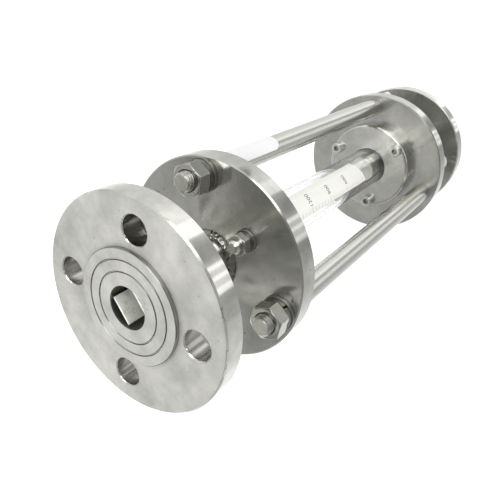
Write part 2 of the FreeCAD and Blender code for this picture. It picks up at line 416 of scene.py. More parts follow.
class Nodes:
    """Short way to add and link nodes in one node tree."""

    def __init__(self, tree: bpy.types.NodeTree) -> None:
        """Keep the tree and empty it."""
        self.tree = tree
        tree.nodes.clear()

    def add(self, kind: str, **values: object) -> bpy.types.Node:
        """Add a node; names that are its properties are set, the others are inputs.

        Args:
            kind: Node type without the ShaderNode prefix.
            values: Property or input names, with underscores for spaces.

        Returns:
            The node.
        """
        node = self.tree.nodes.new("ShaderNode" + kind)
        for key, value in values.items():
            if hasattr(node, key):
                setattr(node, key, value)
            else:
                self.feed(node, key.replace("_", " "), value)
        return node

    def feed(self, node: bpy.types.Node, socket: str | int, value: object) -> None:
        """Link an output to a socket, or set the socket's value.

        Args:
            node: The node to feed.
            socket: Name or number of its input.
            value: An output, or a plain value.
        """
        target = node.inputs[socket]
        if isinstance(value, Socket):
            self.tree.links.new(value, target)
        else:
            target.default_value = value

    def math(self, operation: str, *terms: object) -> Socket:
        """Add a maths node.

        Args:
            operation: Blender's name of the operation.
            terms: One to three outputs or numbers.

        Returns:
            Its output.
        """
        node = self.tree.nodes.new("ShaderNodeMath")
        node.operation = operation
        for index, term in enumerate(terms):
            self.feed(node, index, term)
        return node.outputs[0]

    def product(self, first: object, *others: object) -> Socket:
        """Multiply outputs or numbers.

        Args:
            first: The first factor.
            others: The other factors, at least one.

        Returns:
            The product.
        """
        for other in others:
            first = self.math("MULTIPLY", first, other)
        return first

    def ramp(self, value: Socket, low: float, high: float) -> Socket:
        """Spread a value between two limits over 0 to 1.

        Args:
            value: The value.
            low: Where 0 is.
            high: Where 1 is; below the other limit, the ramp falls.

        Returns:
            The clamped share.
        """
        node = self.add("MapRange", clamp=True, Value=value, From_Min=low, From_Max=high)
        return node.outputs["Result"]

    def spread(self, share: Socket, stops: Sequence[Point]) -> Socket:
        """Turn a share of 0 to 1 into a light level.

        Args:
            share: The share.
            stops: Rising (share, light) pairs, with lights of up to 2.

        Returns:
            The light level.
        """
        node = self.add("ValToRGB", Fac=share)
        marks = node.color_ramp.elements
        marks[0].position, marks[1].position = stops[0][0], stops[-1][0]
        for position, _ in stops[1:-1]:
            marks.new(position)
        for mark, (_, light) in zip(marks, stops):
            mark.color = (light / 2, light / 2, light / 2, 1)
        return self.math("MULTIPLY", node.outputs[0], 2.0)

    def tinted(self, colour: Colour, tint: Socket) -> Socket:
        """Make a colour lighter or darker by a factor.

        Args:
            colour: The plain colour.
            tint: The factor.

        Returns:
            The colour that varies with it.
        """
        node = self.add("VectorMath", operation="SCALE", Scale=tint)
        self.feed(node, 0, colour)
        return node.outputs[0]


def new_material(name: str) -> tuple[Material, Nodes]:
    """Start an empty material.

    Args:
        name: Name of the material.

    Returns:
        The material and the adder of its nodes.
    """
    made = bpy.data.materials.new(name)
    made.use_nodes = True
    return made, Nodes(made.node_tree)


def new_group(name: str, scale: str,
              outputs: Sequence[str]) -> tuple[Nodes, Socket, Socket, bpy.types.Node]:
    """Start a shader node group with a place and a scale as its inputs.

    Args:
        name: Name of the group.
        scale: Name of the input that scales the pattern.
        outputs: Names of its outputs, all of them values.

    Returns:
        The adder of its nodes, its two inputs and its output node.
    """
    tree = bpy.data.node_groups.new(name, "ShaderNodeTree")
    tree.interface.new_socket("Vector", in_out="INPUT", socket_type="NodeSocketVector")
    tree.interface.new_socket(scale, in_out="INPUT", socket_type="NodeSocketFloat")
    for label in outputs:
        tree.interface.new_socket(label, in_out="OUTPUT", socket_type="NodeSocketFloat")
    nodes = Nodes(tree)
    entry = tree.nodes.new("NodeGroupInput")
    return nodes, entry.outputs[0], entry.outputs[1], tree.nodes.new("NodeGroupOutput")


def build_turned_lay() -> None:
    """Fine rings about the Z axis, as a lathe tool leaves them on faces and rims."""
    nodes, where, rings, out = new_group(Lay.TURNED.value, "Marks", ["Height", "Tone"])
    x, y, z = nodes.add("SeparateXYZ", Vector=where).outputs
    across = nodes.math("SQRT", nodes.math("ADD", nodes.product(x, x), nodes.product(y, y)))
    travel = nodes.math("ADD", across, nodes.product(z, 1.37))
    step = nodes.product(travel, rings)
    fine = nodes.add("TexNoise", noise_dimensions="1D", W=step, Scale=1.0, Detail=3.0, Roughness=0.6)
    broad = nodes.add("TexNoise", noise_dimensions="1D", W=nodes.product(step, 0.07), Scale=1.0, Detail=2.0)
    nodes.feed(out, "Height", fine.outputs[0])
    both = nodes.math("ADD", nodes.product(fine.outputs[0], 0.5), nodes.product(broad.outputs[0], 0.5))
    nodes.feed(out, "Tone", both)


def build_drawn_lay() -> None:
    """Fine lines along the Z axis, as drawing and polishing leave them."""
    nodes, where, lines, out = new_group(Lay.DRAWN.value, "Marks", ["Height", "Tone"])
    squeezed = nodes.add("Mapping", vector_type="POINT", Vector=where, Scale=(1, 1, 0.02)).outputs[0]
    fine = nodes.add("TexNoise", Vector=squeezed, Scale=lines, Detail=2.0)
    nodes.feed(out, "Height", fine.outputs[0])
    broad = nodes.add("TexNoise", Vector=squeezed, Scale=nodes.product(lines, 0.1))
    nodes.feed(out, "Tone", broad.outputs[0])


def build_handling() -> None:
    """Blotches, small pits and finger smears that every steel piece carries."""
    nodes, where, size, out = new_group("handling", "Size", ["Blotch", "Pits", "Smear"])
    blotch = nodes.add("TexNoise", Vector=where, Scale=size, Detail=4.0, Roughness=0.62)
    nodes.feed(out, "Blotch", nodes.ramp(blotch.outputs[0], 0.3, 0.7))
    pits = nodes.add("TexVoronoi", Vector=where, Scale=nodes.product(size, 4.5), Randomness=1.0)
    rare = nodes.add("TexNoise", Vector=where, Scale=nodes.product(size, 1.7))
    spot = nodes.math("SUBTRACT", 1.0, nodes.ramp(pits.outputs["Distance"], 0.06, 0.16))
    nodes.feed(out, "Pits", nodes.product(spot, nodes.ramp(rare.outputs[0], 0.5, 0.62)))
    smear = nodes.add("TexNoise", Vector=where, Scale=nodes.product(size, 0.35), Detail=3.0, Distortion=1.2)
    nodes.feed(out, "Smear", nodes.ramp(smear.outputs[0], 0.35, 0.75))


# Finishes


@dataclass(frozen=True)
class Steel:
    """Stainless steel with its machining marks and handling."""

    name: str
    colour: Colour
    roughness: float
    lay: Lay = Lay.TURNED
    marks: float = 900.0
    bump: float = 0.2
    stretch: float = 0.5
    face_roughness: float = 0.0     # added where a face lies across the axis
    face_matt: float = 0.0          # taken off the metal shine there
    matt: float = 0.0               # taken off it everywhere
    mark_tone: float = 0.14
    smears: float = 0.10
    blotches: float = 0.10
    blotch_size: float = 60.0
    pits: float = 0.3
    facing_from: float = 0.5        # share of a normal along the axis where a face begins to count
    facing_to: float = 0.95

    def material(self) -> Material:
        """Build the material.

        Returns:
            The material, on Object coordinates.
        """
        made, nodes = new_material(self.name)
        coords = nodes.add("TexCoord")
        where = coords.outputs["Object"]
        wear = nodes.add("Group", node_tree=bpy.data.node_groups["handling"], Vector=where,
                         Size=self.blotch_size)
        shade = nodes.product(nodes.math("SUBTRACT", wear.outputs["Blotch"], 0.5), self.blotches)
        shade = nodes.math("SUBTRACT", shade, nodes.product(wear.outputs["Pits"], self.pits))
        height = wear.outputs["Blotch"]
        rough = nodes.math("MULTIPLY_ADD", wear.outputs["Smear"], self.smears, self.roughness)
        metallic = 1.0 - self.matt
        if self.face_roughness:
            along = nodes.add("SeparateXYZ", Vector=coords.outputs["Normal"]).outputs[2]
            facing = nodes.ramp(nodes.math("ABSOLUTE", along), self.facing_from, self.facing_to)
            rough = nodes.math("MULTIPLY_ADD", facing, self.face_roughness, rough)
            metallic = nodes.math("MULTIPLY_ADD", facing, -self.face_matt, metallic)
        if self.lay is not Lay.PLAIN:
            lay = nodes.add("Group", node_tree=bpy.data.node_groups[self.lay.value], Vector=where,
                            Marks=self.marks)
            height = lay.outputs["Height"]
            marked = nodes.math("SUBTRACT", lay.outputs["Tone"], 0.5)
            shade = nodes.math("MULTIPLY_ADD", marked, self.mark_tone, shade)
        bump = nodes.add("Bump", Strength=self.bump, Distance=BUMP_REACH, Height=height)
        metal = nodes.add("BsdfPrincipled", Metallic=metallic, Roughness=rough, Anisotropic=self.stretch,
                          Base_Color=nodes.tinted(self.colour, nodes.math("ADD", shade, 1.0)),
                          Normal=bump.outputs[0])
        if self.lay is Lay.TURNED:
            metal.inputs["Anisotropic Rotation"].default_value = 0.25
            nodes.feed(metal, "Tangent", nodes.add("Tangent", direction_type="RADIAL", axis="Z").outputs[0])
        nodes.add("OutputMaterial", Surface=metal.outputs[0])
        return made


@dataclass(frozen=True)
class Glass:
    """Clear drawn glass: little bending, with the reflections of the real surface on top."""

    name: str
    tint: Colour = (0.983, 0.99, 0.983)
    roughness: float = 0.03
    bending: float = 1.25
    shine: float = 1.6
    shine_roughness: float = 0.06
    wave_size: float = 160.0
    wave_depth: float = 0.004

    def material(self) -> Material:
        """Build the material.

        Returns:
            The material, on Object coordinates.
        """
        made, nodes = new_material(self.name)
        where = nodes.add("TexCoord").outputs["Object"]
        drawn = nodes.add("Mapping", vector_type="POINT", Vector=where, Scale=(1, 1, 0.05))
        wave = nodes.add("TexNoise", Vector=drawn.outputs[0], Scale=self.wave_size, Detail=1.0)
        bump = nodes.add("Bump", Strength=self.wave_depth, Distance=2 * BUMP_REACH, Height=wave.outputs[0])
        glass = nodes.add("BsdfPrincipled", Base_Color=(*self.tint, 1), Roughness=self.roughness,
                          IOR=self.bending, Transmission_Weight=1.0, Coat_Weight=1.0,
                          Coat_Roughness=self.shine_roughness, Coat_IOR=self.shine,
                          Normal=bump.outputs[0])
        nodes.add("OutputMaterial", Surface=glass.outputs[0])
        return made


@dataclass(frozen=True)
class Coat:
    """Opaque enamel, film, ink, fluoroplastic or rubber."""

    name: str
    colour: Colour
    roughness: float
    mottle: float = 0.04
    mottle_size: float = 90.0
    smears: float = 0.1
    grain: float = 400.0
    bump: float = 0.1

    def material(self) -> Material:
        """Build the material.

        Returns:
            The material, on Object coordinates.
        """
        made, nodes = new_material(self.name)
        where = nodes.add("TexCoord").outputs["Object"]
        wear = nodes.add("Group", node_tree=bpy.data.node_groups["handling"], Vector=where,
                         Size=self.mottle_size)
        blotch = nodes.math("SUBTRACT", wear.outputs["Blotch"], 0.5)
        tint = nodes.math("MULTIPLY_ADD", blotch, self.mottle, 1.0)
        rough = nodes.math("MULTIPLY_ADD", wear.outputs["Smear"], self.smears, self.roughness)
        grain = nodes.add("TexNoise", Vector=where, Scale=self.grain, Detail=2.0)
        bump = nodes.add("Bump", Strength=self.bump, Distance=BUMP_REACH, Height=grain.outputs[0])
        skin = nodes.add("BsdfPrincipled", Base_Color=nodes.tinted(self.colour, tint), Roughness=rough,
                         Normal=bump.outputs[0])
        nodes.add("OutputMaterial", Surface=skin.outputs[0])
        return made


# Sub-assemblies


@dataclass(frozen=True)
class NutCircle:
    """One circle of threaded ends, with their nuts and the washers under these."""

    kind: str
    ring_r: float
    angles: Triple
    thread_r: float
    thread_out: float
    flats: float
    height: float
    washer_r: float
    washer_t: float
    spring_r: float
    spring_t: float


RODS = NutCircle("rod", ring_r=45.0, angles=(-32.5, -147.5, 90.0), thread_r=5.0, thread_out=3.7,
                 flats=16.0, height=8.0, washer_r=9.0, washer_t=2.0, spring_r=8.3, spring_t=2.6)
SCREWS = NutCircle("gland", ring_r=28.0, angles=(-90.0, 30.0, 150.0), thread_r=3.0, thread_out=2.8,
                   flats=10.0, height=5.0, washer_r=6.0, washer_t=1.6, spring_r=5.3, spring_t=1.8)


@dataclass
class Layout:
    """Sizes that the sub-assemblies share, in heights above the inlet's raised face."""

    length: float = 335.0
    bore_r: float = 10.5
    tube_r: float = 14.0
    plate_out: float = 57.0
    plate_in: float = 69.0
    gland_top: float = 79.5
    rods: NutCircle = RODS
    screws: NutCircle = SCREWS
    hole_gap: float = 0.25

    def end_height(self, place: Vector) -> float:
        """Height of a place above the raised face of the nearer end."""
        return (self.length - abs(2 * place.z - self.length)) / 2

    def nut_face(self, circle: NutCircle) -> float:
        """Height of the outer faces of a circle's nuts at the inlet."""
        return self.plate_out - circle.washer_t - circle.spring_t - circle.height

    def mirrored(self, thing: Thing, crease: float) -> Thing:
        """Copy an inlet piece to the outlet end, mirrored about mid-length.

        Args:
            thing: The piece at the inlet.
            crease: Edges sharper than this many degrees stay sharp.

        Returns:
            The copy at the outlet.
        """
        copy = duplicate(thing, thing.name + "_mirrored")
        copy.scale = (1, 1, -1)
        copy.location = (0, 0, self.length * MM)
        apply_place(copy)
        close_up(copy)
        smooth(copy, crease)
        return copy

    def dress_ends(self, inlet: Thing, prefix: str, part: str, finish: Material, slot: str,
                   crease: float = CREASE) -> list[Thing]:
        """Mirror an inlet piece to the outlet, and settle both for their CAD nodes.

        Args:
            inlet: The piece at the inlet.
            prefix: What both names start with, before the name of the CAD node.
            part: Name of the CAD nodes without their end.
            finish: Material of both.
            slot: Material slot of the record that they belong to.
            crease: Edges sharper than this many degrees stay sharp.

        Returns:
            The pieces at the inlet and at the outlet.
        """
        pieces = [inlet, self.mirrored(inlet, crease)]
        for end, piece in zip(End, pieces):
            node = "%s_%s" % (end.value, part)
            piece.name = prefix + node
            settle(piece, finish, slot, node)
        return pieces


@dataclass
class EndFitting(Layout):
    """Flange, neck, plate, gland and float stop of one end."""

    flange_r: float = 52.5
    flange_edge: float = 0.8
    bolt_ring: float = 37.5
    bolt_angles: tuple[float, ...] = (45, 135, 225, 315)
    bolt_hole_r: float = 7.0
    bolt_chamfer: float = 0.5
    raised_r: float = 28.0
    raised_h: float = 2.0
    raised_edge: float = 0.4
    grooves: Point = (17.1, 22.7)
    groove_w: float = 0.9
    groove_floor: float = 0.3       # share of its mouth
    groove_depth: float = 0.5
    flange_back: float = 13.0
    neck_r: float = 13.45
    weld_leg: float = 3.0
    weld_root: float = 0.2          # how far the bead reaches into the neck
    weld_hollow: float = 0.13       # share of the leg by which its face is hollow
    weld_steps: int = 8
    ripple_size: float = 1.5
    ripple_height: float = 1.1
    plate_r: float = 54.5
    plate_edge: float = 0.7
    plate_chamfer: float = 0.3
    seal_r: float = 20.05
    seal_t: float = 4.0
    seat_floor: float = 62.0
    gland_r: float = 32.5
    gland_bore_gap: float = 0.35
    gland_edge_r: float = 2.0
    gland_chamfer: float = 0.2
    edge_round: float = 0.18
    thin_edge_round: float = 0.15

    def drill(self, thing: Thing, hole_r: float, ring_r: float, angles: Iterable[float],
              heights: Point, chamfer: float) -> None:
        """Drill a circle of chamfered holes through an object.

        Args:
            thing: The object to drill.
            hole_r: Radius of each hole.
            ring_r: Radius of the circle.
            angles: Where the holes are, in degrees.
            heights: Heights of the lower and the upper face.
            chamfer: Width of the chamfer at both faces.
        """
        low, high = heights
        mouth_r = hole_r + chamfer
        tool = turn("drill", [(0, low - OVERRUN), (mouth_r, low - OVERRUN), (mouth_r, low),
                              (hole_r, low + chamfer), (hole_r, high - chamfer), (mouth_r, high),
                              (mouth_r, high + OVERRUN), (0, high + OVERRUN)], segments=48)
        tools = [place_copy(tool, "drill_copy", ring_place(ring_r, angle)) for angle in angles]
        bpy.data.objects.remove(tool)
        cut(thing, tools)

    def flange(self) -> Thing:
        """Raised-face flange with two sealing grooves and four bolt holes.

        Returns:
            The flange of the inlet.
        """
        half, floor = self.groove_w / 2, self.groove_w / 2 * self.groove_floor
        edge, back, depth = self.flange_edge, self.flange_back, self.groove_depth
        outline = [(self.bore_r, 0)]
        for middle in self.grooves:
            outline += [(middle - half, 0), (middle - floor, depth), (middle + floor, depth),
                        (middle + half, 0)]
        outline += [(self.raised_r - self.raised_edge, 0), (self.raised_r, self.raised_edge),
                    (self.raised_r, self.raised_h), (self.flange_r - edge, self.raised_h),
                    (self.flange_r, self.raised_h + edge), (self.flange_r, back - edge),
                    (self.flange_r - edge, back), (self.bore_r, back)]
        thing = turn("flange", outline)
        self.drill(thing, self.bolt_hole_r, self.bolt_ring, self.bolt_angles,
                   (self.raised_h, back), self.bolt_chamfer)
        return ease(thing, self.edge_round)

    def is_hole(self, place: Vector, normal: Vector) -> bool:
        """Tell whether a flange face lies in a bolt hole.

        Args:
            place: Middle of the face.
            normal: Its normal.

        Returns:
            True for the walls between the chamfers.
        """
        reach = self.bolt_hole_r + FACE_SLACK
        aside = min((off_axis(place) - ring_place(self.bolt_ring, angle)).length
                    for angle in self.bolt_angles)
        return abs(normal.z) < WALL_TILT and aside < reach

    def is_step(self, place: Vector, normal: Vector) -> bool:
        """Tell whether a flange face lies in a sealing groove or the raised face's wall."""
        low, high = self.grooves[0] - self.groove_w, self.raised_r + FACE_SLACK
        return abs(normal.z) < SLOPE_TILT and low < off_axis(place).length < high

    def is_back(self, place: Vector, normal: Vector) -> bool:
        """Tell whether a flange face lies on the back of the flange."""
        height = self.end_height(place)
        return abs(normal.z) > LEVEL_TILT and height > self.flange_back - FACE_SLACK

    def is_bore(self, place: Vector, normal: Vector) -> bool:
        """Tell whether a flange face lies in the bore."""
        across = off_axis(place).length
        return abs(normal.z) < SLOPE_TILT and across < self.bore_r + FACE_SLACK / 2

    def weld(self, face: float, grows: int) -> Thing:
        """Rippled weld bead round the neck.

        Args:
            face: Height of the face that it lies on.
            grows: 1 if it grows upwards, -1 if downwards.

        Returns:
            The bead.
        """
        leg, inner = self.weld_leg, self.neck_r - self.weld_root
        outline = [(inner, face)]
        for count in range(self.weld_steps + 1):
            angle = math.radians(90 * count / self.weld_steps)
            swell = leg * (1.0 - self.weld_hollow * math.sin(2 * angle))
            outline.append((self.neck_r + swell * math.cos(angle), face + grows * swell * math.sin(angle)))
        outline.append((inner, face + grows * leg))
        thing = turn("weld", outline, segments=240)
        ripple = bpy.data.textures.new("bead_ripple", "CLOUDS")
        ripple.noise_scale = self.ripple_size * MM
        apply_modifier(thing, "DISPLACE", texture=ripple, strength=self.ripple_height * MM,
                       mid_level=0.5, texture_coords="LOCAL")
        smooth(thing, WELD_CREASE)
        return thing

    def plate(self) -> Thing:
        """End plate with its tube seat, packing recess and two circles of holes.

        Returns:
            The plate of the inlet.
        """
        edge, low, high = self.plate_edge, self.plate_out, self.plate_in
        seat_r, recess = self.tube_r + self.hole_gap, high - self.seal_t
        thing = turn("plate", [
            (self.bore_r, low), (self.plate_r - edge, low), (self.plate_r, low + edge),
            (self.plate_r, high - edge), (self.plate_r - edge, high), (self.seal_r, high),
            (self.seal_r, recess), (seat_r, recess), (seat_r, self.seat_floor),
            (self.bore_r, self.seat_floor)])
        for circle in (self.rods, self.screws):
            self.drill(thing, circle.thread_r + self.hole_gap, circle.ring_r, circle.angles,
                       (low, high), self.plate_chamfer)
        return ease(thing, self.edge_round)

    def gland(self) -> Thing:
        """Gland ring with a rounded front rim.

        Returns:
            The gland of the inlet.
        """
        bore_r = self.tube_r + self.gland_bore_gap
        rim = quarter(self.gland_r, self.gland_top, self.gland_edge_r, 6)
        thing = turn("gland", [(bore_r, self.plate_in), (self.gland_r, self.plate_in), *rim,
                               (bore_r, self.gland_top)])
        self.drill(thing, self.screws.thread_r + self.hole_gap, self.screws.ring_r,
                   self.screws.angles, (self.plate_in, self.gland_top), self.gland_chamfer)
        return ease(thing, self.thin_edge_round)

    def build(self, finishes: Finishes) -> None:
        """Model the inlet pieces, mirror them to the outlet and dress both ends.

        Args:
            finishes: Materials by name.
        """
        flanges = self.dress_ends(self.flange(), "turned_", "flange", finishes["flange_steel"],
                                  "flange_steel")
        for piece in flanges:
            # painted shade: the grooves and raised wall, bolt holes, bore and back get darker colours than
            # the flange face
            for second, chosen in (("painted_shade_wall_steel", self.is_step), ("hole_steel_painted_shade", self.is_hole),
                                   ("bore_steel_painted_shade", self.is_bore), ("plate_steel", self.is_back)):
                dress_faces(piece, finishes[second], chosen)
        for part, face, grows in (("flange_weld", self.flange_back, 1), ("plate_weld", self.plate_out, -1)):
            self.dress_ends(self.weld(face, grows), "turned_", part, finishes["weld_steel"],
                            "weld_steel", WELD_CREASE)
        for part, model in (("plate", self.plate), ("gland", self.gland)):
            slot = part + "_steel"
            self.dress_ends(model(), "turned_", part, finishes[slot], slot)
        for end in End:
            stop = refine(end.value + "_float_stop", "folded_%s_stop" % end.value, self.thin_edge_round)
            settle(stop, finishes["stop_steel"], "stop_steel", end.value + "_float_stop")


@dataclass
class Fasteners(Layout):
    """Tie rods, cap screws, nuts and washers."""

    rod_nut_turns: Triple = (48.0, 37.0, 20.0)
    nut_face_trim: float = 0.2
    nut_bore_edge: float = 0.8
    nut_thread_gap: float = 0.05
    nut_chamfer: float = 30.0
    nut_round: float = 0.45
    washer_edge: float = 0.3
    washer_round: float = 0.1
    spring_round: float = 0.12
    slit_w: float = 1.2
    slit_lean: float = 20.0
    slit_turn: float = 70.0
    rod_r: float = 6.5
    rod_pitch: float = 1.5
    rod_tip_edge: float = 0.9
    shoulder_edge: float = 0.5
    screw_pitch: float = 1.0
    screw_tip_edge: float = 0.6
    screw_thread: float = 8.0       # thread from the nut's outer face on
    head_r: float = 4.3
    head_h: float = 5.0
    head_edge: float = 0.7
    socket_af: float = 4.0
    socket_depth: float = 2.5
    edge_round: float = 0.15
    thread_depth: float = 0.6       # shares of the pitch
    thread_flank: float = 0.36
    thread_crest: float = 0.14
    thread_lead: float = 1.5
    tip_room: float = 0.5           # how far the chamfering tool clears the thread

    def thread(self, name: str, crest: float, pitch: float, heights: Point, tip_edge: float) -> Thing:
        """Threaded end with its chamfered tip at the low height.

        Args:
            name: Name of the new object.
            crest: Outer radius of the thread.
            pitch: Height of one turn.
            heights: Heights of the tip and of the thread's end.
            tip_edge: Width of the chamfer at the tip.

        Returns:
            The closed threaded solid.
        """
        low, high = heights
        root, start = crest - self.thread_depth * pitch, low - self.thread_lead * pitch
        outer, turns = crest + self.tip_room, math.ceil((high - low) / pitch) + 3
        shares = [0.0, self.thread_flank, self.thread_flank + self.thread_crest,
                  2 * self.thread_flank + self.thread_crest, 1.0]
        radii = [root, crest, crest, root, root]
        thing = draw(name, [(radius, start + share * pitch) for radius, share in zip(radii, shares)])
        apply_modifier(thing, "SCREW", angle=math.tau, steps=40, render_steps=40, axis="Z",
                       screw_offset=pitch * MM, iterations=turns, use_merge_vertices=True,
                       merge_threshold=LOOSE)
        edit(thing)
        bpy.ops.mesh.remove_doubles(threshold=LOOSE)
        for height, above in ((low, False), (high, True)):
            bpy.ops.mesh.select_all(action="SELECT")
            bpy.ops.mesh.bisect(plane_co=(0, 0, height * MM), plane_no=(0, 0, 1), use_fill=True,
                                clear_inner=not above, clear_outer=above)
        close_up(thing)
        tip = turn("tip", [(0, low - OVERRUN), (crest - tip_edge, low - OVERRUN), (crest - tip_edge, low),
                           (outer, low + tip_edge + self.tip_room), (outer, high + OVERRUN),
                           (0, high + OVERRUN)], segments=80)
        cut(thing, [tip], "INTERSECT")
        smooth(thing, THREAD_CREASE)
        return thing

    def nut(self, circle: NutCircle) -> Thing:
        """Hexagon nut on Z = 0: a turned blank with chamfered faces and six milled flats.

        Args:
            circle: The circle that it sits on.

        Returns:
            The nut, with a corner towards +X.
        """
        corner, edge, height = circle.flats / math.sqrt(3), self.nut_bore_edge, circle.height
        face_r, hole_r = circle.flats / 2 - self.nut_face_trim, circle.thread_r + self.nut_thread_gap
        lift = (corner - face_r) * math.tan(math.radians(self.nut_chamfer))
        thing = turn(circle.kind + "_nut", [
            (hole_r + edge, 0), (face_r, 0), (corner, lift), (corner, height - lift), (face_r, height),
            (hole_r + edge, height), (hole_r, height - edge), (hole_r, edge)], segments=96)
        edit(thing)
        for side in range(6):
            flat = ring_place(circle.flats / 2, 30 + 60 * side)
            bpy.ops.mesh.select_all(action="SELECT")
            bpy.ops.mesh.bisect(plane_co=flat * MM, plane_no=flat.normalized(), use_fill=True,
                                clear_outer=True)
        close_up(thing)
        soften(thing, self.nut_round, segments=3, crease=25)
        smooth(thing, NUT_CREASE)
        return thing

    def flat_washer(self, circle: NutCircle) -> Thing:
        """Stamped flat washer on Z = 0, with its edges rounded off.

        Args:
            circle: The circle of the nut over it.

        Returns:
            The washer.
        """
        outer, thick, hole_r = circle.washer_r, circle.washer_t, circle.thread_r + self.hole_gap
        edge = min(self.washer_edge, thick / 4)
        thing = turn("flat_washer", [
            (hole_r, 0), (outer - edge, 0), (outer, edge), (outer, thick - edge),
            (outer - edge, thick), (hole_r, thick)], segments=96)
        return ease(thing, self.washer_round)

    def spring_washer(self, circle: NutCircle) -> Thing:
        """Split spring washer on Z = 0, with a slanting slit.

        Args:
            circle: The circle of the nut over it.

        Returns:
            The washer, its slit at the angle of the solid model.
        """
        outer, thick, hole_r = circle.spring_r, circle.spring_t, circle.thread_r + self.hole_gap
        thing = turn("spring_washer", [(hole_r, 0), (outer, 0), (outer, thick), (hole_r, thick)],
                     segments=96)
        clear_selection()
        place = ring_place(outer, self.slit_turn, thick / 2)
        bpy.ops.mesh.primitive_cube_add(size=1.0, location=place * MM)
        slit = bpy.context.active_object
        slit.scale = Vector((2 * outer, self.slit_w, 6 * thick)) * MM
        slit.rotation_euler = (math.radians(self.slit_lean), 0, math.radians(self.slit_turn))
        apply_place(slit)
        cut(thing, [slit])
        return ease(thing, self.spring_round)

    def washer_set(self, circle: NutCircle) -> Thing:
        """Put a flat and a spring washer under each nut of one circle at the inlet.

        Args:
            circle: The circle of the nuts.

        Returns:
            All the washers of the circle as one piece.
        """
        flat, spring = self.flat_washer(circle), self.spring_washer(circle)
        low = self.plate_out - circle.washer_t
        pieces = []
        for angle in circle.angles:
            for pattern, height in ((flat, low), (spring, low - circle.spring_t)):
                place = ring_place(circle.ring_r, angle, height)
                pieces.append(place_copy(pattern, "washer", place, angle))
        for pattern in (flat, spring):
            bpy.data.objects.remove(pattern)
        return join(*pieces)

    def cap_screw(self) -> Thing:
        """Socket cap screw with a threaded end, on the axis.

        Returns:
            The screw of the inlet.
        """
        nut_face, top = self.nut_face(self.screws), self.gland_top + self.head_h
        shank_r, thread_end = self.screws.thread_r, nut_face + self.screw_thread
        head = turn("cap_screw", [
            (0, thread_end), (shank_r, thread_end), (shank_r, self.gland_top),
            (self.head_r, self.gland_top), *quarter(self.head_r, top, self.head_edge, 5), (0, top)],
            segments=64)
        clear_selection()
        depth = self.socket_depth + OVERRUN
        bpy.ops.mesh.primitive_cylinder_add(vertices=6, radius=self.socket_af / math.sqrt(3) * MM,
                                            depth=depth * MM,
                                            location=(0, 0, (top + OVERRUN - depth / 2) * MM),
                                            rotation=(0, 0, math.radians(30)))
        key = bpy.context.active_object
        apply_place(key)
        cut(head, [key])
        ease(head, self.edge_round)
        end = self.thread("screw_thread", shank_r, self.screw_pitch,
                          (nut_face - self.screws.thread_out, thread_end), self.screw_tip_edge)
        return join(head, end)

    def is_socket(self, place: Vector, normal: Vector) -> bool:
        """Tell whether a face of a cap screw lies inside its socket.

        Args:
            place: Middle of the face.
            normal: Its normal, which any face there may have.

        Returns:
            True for the walls and the floor of the socket.
        """
        below_top = self.gland_top + self.head_h - self.end_height(place)
        aside = min((off_axis(place) - ring_place(self.screws.ring_r, angle)).length
                    for angle in self.screws.angles)
        within = 2 * FACE_SLACK < below_top < self.socket_depth + FACE_SLACK
        return within and aside < self.socket_af / math.sqrt(3)

    def tie_rod(self) -> Thing:
        """Tie rod with a threaded end on each side, on the axis.

        Returns:
            The rod.
        """
        edge, near, far = self.shoulder_edge, self.plate_in, self.length - self.plate_in
        body = turn("tie_rod", [(0, near), (self.rod_r - edge, near), (self.rod_r, near + edge),
                                (self.rod_r, far - edge), (self.rod_r - edge, far), (0, far)],
                    segments=96)
        ease(body, self.edge_round)
        tip = self.nut_face(self.rods) - self.rods.thread_out
        low = self.thread("rod_thread", self.rods.thread_r, self.rod_pitch, (tip, near),
                          self.rod_tip_edge)
        return join(body, low, self.mirrored(low, THREAD_CREASE))

    def build(self, finishes: Finishes) -> None:
        """Model each fastener once and copy it to its places.

        Args:
            finishes: Materials by name.
        """
        rod, screw = self.tie_rod(), self.cap_screw()
        rod_nut, screw_nut = self.nut(self.rods), self.nut(self.screws)
        slot = "fastener_steel"
        for count, angle in enumerate(self.rods.angles, 1):
            place = ring_place(self.rods.ring_r, angle)
            piece = place_copy(rod, "threaded_tie_rod_%d" % count, place)
            settle(piece, finishes["rod_steel"], "rod_steel", "tie_rod_%d" % count)
            place.z = self.nut_face(self.rods)
            nut = place_copy(rod_nut, "nut", place, angle + self.rod_nut_turns[count - 1])
            self.dress_ends(nut, "hex_", "rod_nut_%d" % count, finishes[slot], slot, NUT_CREASE)
        for count, angle in enumerate(self.screws.angles, 1):
            place = ring_place(self.screws.ring_r, angle)
            piece = place_copy(screw, "screw", place, angle)
            for piece in self.dress_ends(piece, "cap_", "gland_screw_%d" % count,
                                         finishes["socket_steel"], slot):
                # the socket's walls and floor take a darker colour, painted shade
                dress_faces(piece, finishes["painted_shade_wall_steel"], self.is_socket)
            place.z = self.nut_face(self.screws)
            nut = place_copy(screw_nut, "nut", place, angle)
            self.dress_ends(nut, "hex_", "gland_nut_%d" % count, finishes[slot], slot, NUT_CREASE)
        for pattern in (rod, screw, rod_nut, screw_nut):
            bpy.data.objects.remove(pattern)
        # the washers take a dark colour: painted shade under the nuts
        for circle in (self.rods, self.screws):
            self.dress_ends(self.washer_set(circle), "flat_", circle.kind + "_washers",
                            finishes["washer_steel_painted_shade"], slot)


